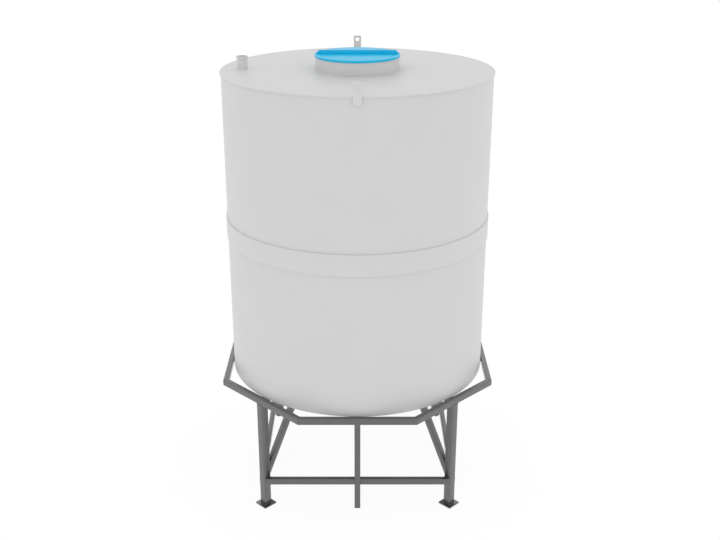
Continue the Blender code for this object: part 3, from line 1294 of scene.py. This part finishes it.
@dataclass(frozen=True)
class BraceTube:
    """A slanting tube from the leg in the middle of the front side up to the seat."""

    box: NodeBox
    leg_face: float
    width: float
    depth: float
    lean: float
    corner: float

    @property
    def run_out(self) -> float:
        """How far inwards the tube leans between its foot and its head."""
        return self.box.size.z * math.tan(math.radians(self.lean))

    def mesh(self) -> bpy.types.Mesh:
        """Make the tube, cut to the leg's face and to the underside of the seat.

        Returns:
            The closed mesh.
        """
        slant = math.radians(self.lean)
        foot = Vector((0.0, -self.leg_face, self.box.low.z))
        underside = Vector((0.0, math.cos(slant), -math.sin(slant)))
        length = self.box.size.z / math.cos(slant)
        spare = 2 * self.depth
        far = Vector((-self.width / 2, -self.depth / 2))
        tube = bar_mesh(tube_section(far, -far, self.corner), lambda _: -spare, lambda _: length + spare)
        upright = Matrix(((0, 1, 0, 0), (0, 0, 1, 0), (1, 0, 0, 0), (0, 0, 0, 1)))
        middle = foot - underside * self.depth / 2
        tube.transform(Matrix.Translation(middle) @ Matrix.Rotation(-slant, 4, "X") @ upright)
        solid = bmesh.new()
        solid.from_mesh(tube)
        head = Vector((0.0, 0.0, self.box.high.z))
        for point, normal in ((foot, Vector((0.0, -1.0, 0.0))), (head, Vector((0.0, 0.0, 1.0)))):
            everything = solid.verts[:] + solid.edges[:] + solid.faces[:]
            found = bmesh.ops.bisect_plane(
                solid, geom=everything, plane_co=point, plane_no=normal, clear_outer=True, dist=1e-6
            )
            rim = [item for item in found["geom_cut"] if isinstance(item, bmesh.types.BMEdge)]
            bmesh.ops.edgeloop_fill(solid, edges=rim)
        solid.to_mesh(tube)
        solid.free()
        return tidy_mesh(tube)

    def weld_paths(self) -> list[list[Point]]:
        """Give the outlines of the two cut ends.

        Returns:
            A closed path on the leg's face and one under the seat.
        """
        slant = math.radians(self.lean)
        low, high = self.box.low.z, self.box.high.z
        half = self.width / 2
        inner = self.run_out - self.leg_face
        top = low + self.depth / math.sin(slant)
        outer = inner - self.depth / math.cos(slant)
        on_leg = (Vector((-half, -self.leg_face, low)), Vector((half, -self.leg_face, top)))
        on_seat = (Vector((-half, outer, high)), Vector((half, inner, high)))
        return [rectangle_path(*pair, self.corner) for pair in (on_leg, on_seat)]


@dataclass
class SupportFrame:
    """Welded steel stand: octagonal ring, legs on foot plates, beams, posts, seat and braces."""

    shop: Workshop
    corner: float = 0.004
    plate_edge: float = 0.0012
    plate_corner: float = 0.003
    brace_width: float = 0.040
    brace_depth: float = 0.050
    brace_lean: float = 30.0
    seat_beam_width: float = 0.040
    bead_width: float = 0.0045
    mitre_bead_width: float = 0.0022
    bead_pitch: float = 0.0055
    leg: NodeBox = field(default_factory=lambda: NodeBox.of("leg_front_right"))
    post: NodeBox = field(default_factory=lambda: NodeBox.of("post_front"))
    cross: NodeBox = field(default_factory=lambda: NodeBox.of("floor_cross"))

    @property
    def leg_side(self) -> float:
        """The width of the square legs."""
        return self.leg.size.x / math.sqrt(2)

    def build(self) -> None:
        """Build every part of the stand."""
        self.build_ring()
        self.build_legs()
        self.build_feet()
        self.build_beams()
        self.build_posts()
        self.build_seat()
        self.build_braces()

    def give(self, name: str, mesh: bpy.types.Mesh, nodes: Sequence[str]) -> None:
        """Hand over a painted piece of the stand."""
        hand_over(name, mesh, self.shop.finishes.steel, Body.TANK, Slot.STEEL, nodes)

    def lay(
        self,
        name: str,
        paths: Sequence[Sequence[Point]],
        seed: int,
        first: Enum,
        count: int = QUARTERS,
        closed: bool = True,
        width: float = 0.0,
    ) -> None:
        """Lay weld beads on the front side and repeat them round the stand.

        Args:
            name: The piece's name.
            paths: The paths on the front side.
            seed: Seed of the beads' unevenness.
            first: The side or the diagonal of the first copy.
            count: The number of copies.
            closed: Whether the paths join up.
            width: The width of the bead, or 0 for the usual one.
        """
        finish = self.shop.finishes.steel_seam
        width = width or self.bead_width
        bead = self.shop.weld.run(paths, closed, finish, width, self.bead_pitch, seed=seed)
        beads = self.shop.repeat.run(bead, finish, first, count)
        hand_over(name, beads, finish, Body.TANK, Slot.STEEL)

    def build_ring(self) -> None:
        """Build the octagon of eight mitred tubes with the welds in its mitres."""
        slope = math.tan(math.pi / (2 * QUARTERS))
        tube = LevelTube(NodeBox.of("ring_side_front"), slope, self.corner)
        count = 2 * QUARTERS
        ring = self.shop.repeat.run(tube.mesh(), self.shop.finishes.steel, Side.FRONT, count=count)
        nodes = node_names("ring_side", Side) + node_names("ring_side", Diagonal)
        self.give("ring_tubes", ring, nodes)
        width = self.mitre_bead_width
        self.lay("ring_mitre_welds", [tube.end_path(1)], 36, Side.FRONT, count, width=width)

    def upright(
        self, width: float, depth: float, reach: float, low: float, high: float
    ) -> bpy.types.Mesh:
        """Make an upright tube on the front side.

        Args:
            width: Its width along X.
            depth: Its depth along Y.
            reach: The distance of its middle from the axis.
            low: The height of its foot.
            high: The height of its head.

        Returns:
            The tube's mesh.
        """
        far = Vector((-width / 2, -depth / 2))
        section = tube_section(far, -far, self.corner)
        mesh = bar_mesh(section, lambda _: low, lambda _: high)
        place = Matrix(((0, 1, 0, 0), (0, 0, 1, -reach), (1, 0, 0, 0), (0, 0, 0, 1)))
        mesh.transform(place)
        return mesh

    def build_legs(self) -> None:
        """Build the four square legs, welded to the ring above and to the foot plates below."""
        side, reach = self.leg_side, self.leg.reach
        low, high = self.leg.low.z, self.leg.high.z
        leg = self.upright(side, side, reach, low, high)
        legs = self.shop.repeat.run(leg, self.shop.finishes.steel, Diagonal.FRONT_RIGHT)
        self.give("leg_tubes", legs, node_names("leg", Diagonal))
        paths = []
        for height in (low, high):
            far = Vector((-side / 2, -reach - side / 2, height))
            near = Vector((side / 2, side / 2 - reach, height))
            paths.append(rectangle_path(far, near, self.corner))
        self.lay("leg_welds", paths, 29, Diagonal.FRONT_RIGHT)

    def build_feet(self) -> None:
        """Build the four square foot plates."""
        box = NodeBox.of("foot_plate_front_right")
        half = box.size.x / math.sqrt(2) / 2
        signs = ((-1, -1), (1, -1), (1, 1), (-1, 1))
        corners = [(x * half, y * half, self.plate_corner) for x, y in signs]
        plate = plate_mesh(corners, box.size.z, self.plate_edge)
        plate.transform(Matrix.Translation((0.0, -box.reach, box.centre.z)))
        plates = self.shop.repeat.run(plate, self.shop.finishes.steel, Diagonal.FRONT_RIGHT)
        self.give("foot_plates", plates, node_names("foot_plate", Diagonal))

    def build_beams(self) -> None:
        """Build the four lower beams between the legs."""
        tube = LevelTube(NodeBox.of("lower_beam_front"), 1.0, self.corner)
        beams = self.shop.repeat.run(tube.mesh(), self.shop.finishes.steel, Side.FRONT)
        self.give("lower_beam_tubes", beams, node_names("lower_beam", Side))
        self.lay("lower_beam_welds", [tube.end_path(-1), tube.end_path(1)], 36, Side.FRONT)

    def build_posts(self) -> None:
        """Build the four middle posts, welded to the lower beams and to the cross."""
        box = self.post
        post = self.upright(box.size.x, box.size.y, box.reach, box.low.z, box.high.z)
        posts = self.shop.repeat.run(post, self.shop.finishes.steel, Side.FRONT)
        self.give("middle_posts", posts, node_names("post", Side))
        beam = NodeBox.of("lower_beam_front")
        half = box.size.x / 2 - self.corner / 2
        paths = [[(x, box.high.y, beam.low.z), (x, box.high.y, beam.high.z)] for x in (-half, half)]
        self.lay("post_side_welds", paths, 35, Side.FRONT, closed=False)
        arm = self.seat_beam_width / 2
        far = Vector((-arm, box.low.y, box.high.z))
        near = Vector((arm, box.high.y, box.high.z))
        head = rectangle_path(far, near, self.corner / 2)
        self.lay("post_head_welds", [head], 35, Side.FRONT)

    def build_seat(self) -> None:
        """Build the seat under the tank floor: a cross and four diagonal beams."""
        box = self.cross
        half = self.seat_beam_width / 2
        section = tube_section(Vector((-half, box.low.z)), Vector((half, box.high.z)), self.corner)
        end = box.high.x
        arms = [bar_mesh(section, lambda _: -end, lambda _: end)]
        for turn in (90, 270):
            arm = bar_mesh(section, lambda _: half + JOINT_GAP, lambda _: end)
            arm.transform(Matrix.Rotation(math.radians(turn), 4, "Z"))
            arms.append(arm)
        self.give("floor_cross_tubes", tidy_mesh(joined(arms)), ["floor_cross"])
        tip = (half + JOINT_GAP) * math.sqrt(2)
        beam = bar_mesh(section, lambda point: tip + abs(point.x), lambda _: end)
        beam.transform(Matrix.Rotation(math.radians(-90), 4, "Z"))
        beams = self.shop.repeat.run(beam, self.shop.finishes.steel, Diagonal.FRONT_RIGHT)
        self.give("seat_beam_tubes", beams, node_names("seat_beam", Diagonal))

    def build_braces(self) -> None:
        """Build the four braces that lean from the legs towards the tank's axis."""
        face = self.leg.reach - self.leg_side / 2 - JOINT_GAP
        box = NodeBox.of("brace_front_right")
        tube = BraceTube(box, face, self.brace_width, self.brace_depth, self.brace_lean, self.corner)
        braces = self.shop.repeat.run(tube.mesh(), self.shop.finishes.steel, Diagonal.FRONT_RIGHT)
        self.give("slanting_braces", braces, node_names("brace", Diagonal))
        self.lay("brace_welds", tube.weld_paths(), 31, Diagonal.FRONT_RIGHT)


# Studio


@dataclass
class Studio:
    """Pale floor, even white surroundings and the camera."""

    lens_mm: float = 50.0
    sensor_mm: float = 36.0
    camera_distance: float = 7.391
    camera_above_shell: float = 1.311
    camera_pitch: float = 21.35
    shift_x: float = 0.0036
    floor_radius: float = 60.0
    floor_colour: str = "595959"
    floor_glow: float = 0.91
    surround: str = "FFFFFF"
    surround_strength: float = 1.0

    def build(self) -> None:
        """Build the studio."""
        self.build_floor()
        self.build_light()
        self.build_camera()

    def build_floor(self) -> None:
        """Build the plain pale floor."""
        material = bpy.data.materials.new("matt_white_studio_floor")
        material.use_nodes = True
        shader = material.node_tree.nodes["Principled BSDF"]
        shader.inputs["Base Color"].default_value = linear(self.floor_colour)
        shader.inputs["Roughness"].default_value = 1.0
        shader.inputs["Specular IOR Level"].default_value = 0.0
        shader.inputs["Emission Color"].default_value = linear(self.surround)
        shader.inputs["Emission Strength"].default_value = self.floor_glow
        steps = 96
        turns = [Matrix.Rotation(FULL_TURN * step / steps, 3, "Z") for step in range(steps)]
        rim = [turn @ Vector((self.floor_radius, 0.0, 0.0)) for turn in turns]
        mesh = bpy.data.meshes.new("studio_floor")
        mesh.from_pydata(rim, [], [tuple(range(steps))])
        mesh.materials.append(material)
        new_object("studio_floor", mesh)

    def build_light(self) -> None:
        """Set the even white surroundings."""
        world = bpy.data.worlds.new("white_surroundings")
        bpy.context.scene.world = world
        world.use_nodes = True
        background = world.node_tree.nodes["Background"]
        background.inputs["Color"].default_value = linear(self.surround)
        background.inputs["Strength"].default_value = self.surround_strength
        bpy.context.scene.view_settings.view_transform = "Standard"

    def build_camera(self) -> None:
        """Set the camera at the photograph's viewing angle."""
        data = bpy.data.cameras.new("camera")
        data.lens = self.lens_mm
        data.sensor_width = self.sensor_mm
        data.shift_x = self.shift_x
        data.clip_end = 200.0
        camera = bpy.data.objects.new("camera", data)
        bpy.context.scene.collection.objects.link(camera)
        shell_top = NodeBox.of("tank_wall_upper").high.z
        camera.location = (0.0, -self.camera_distance, shell_top + self.camera_above_shell)
        camera.rotation_euler = (math.radians(90.0 - self.camera_pitch), 0.0, 0.0)
        bpy.context.scene.camera = camera


def main() -> None:
    """Build the dressed tank and the studio."""
    logging.basicConfig(level=logging.INFO, format="%(name)s: %(message)s")
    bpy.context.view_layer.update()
    shop = Workshop.build()
    for assembly in (
        TankShell(shop),
        RoofDeck(shop),
        Hatch(shop),
        VentPipe(shop),
        LiftingLugs(shop),
        SupportFrame(shop),
        Studio(),
    ):
        assembly.build()
        LOG.info("%s done", type(assembly).__name__)


if __name__ == "__main__":
    main()
